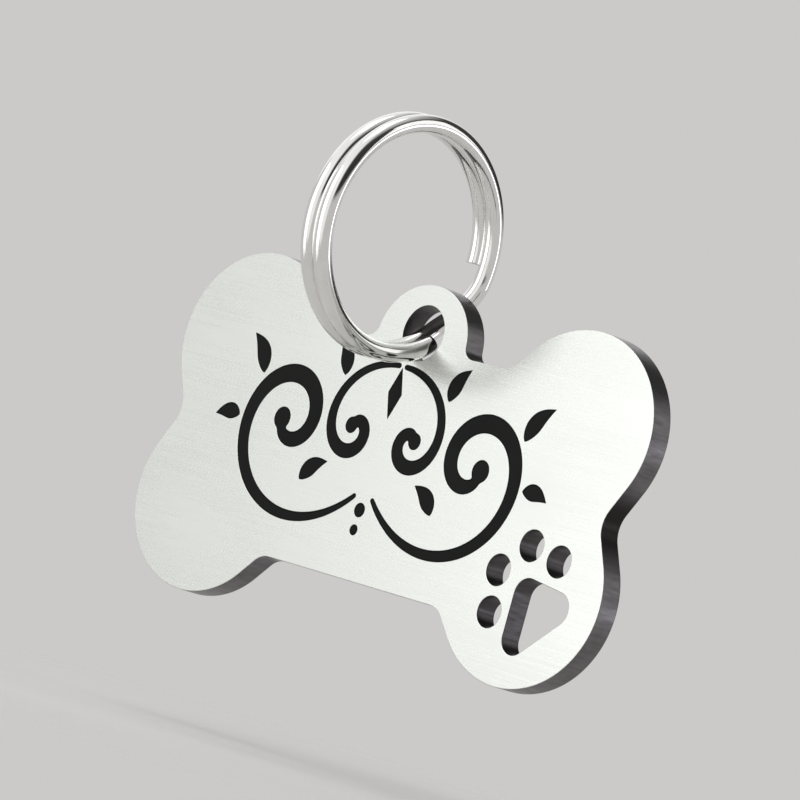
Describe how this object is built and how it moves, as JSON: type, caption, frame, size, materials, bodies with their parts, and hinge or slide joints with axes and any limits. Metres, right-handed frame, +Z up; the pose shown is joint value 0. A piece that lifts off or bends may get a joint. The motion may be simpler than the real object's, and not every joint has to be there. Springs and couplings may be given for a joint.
{
  "type": "pet id tag",
  "caption": "Bone-shaped steel id tag with a paw print cut through it, black-filled engraved scrolls and a split ring through its lug.",
  "frame": {"origin": "centre of the bone on the plate's flat back face", "axes": "+X to the tag's right seen from the front, +Y out of its back face, +Z up to the lug and the ring"},
  "size_m": [0.055, 0.0198, 0.0419],
  "materials": {
    "brushed_plate": "fine satin brushing along the tag, with darker satin cut walls",
    "black_enamel": "satin black fill",
    "polished_wire": "polished round steel wire"
  },
  "bodies": {
    "ring": {"split_ring": "polished_wire"},
    "tag": {"tag_plate": "brushed_plate", "enamel_outer_scrolls": "black_enamel", "enamel_inner_scrolls": "black_enamel", "enamel_leaves": "black_enamel", "enamel_diamond": "black_enamel", "enamel_dots": "black_enamel"}
  },
  "joints": [
    {"name": "tag_swing", "type": "hinge", "parent": "ring", "child": "tag", "pos_m": [0, -0.001, 0.01096], "axis": [0, 1, 0], "range_deg": [-70, 70]}
  ]
}
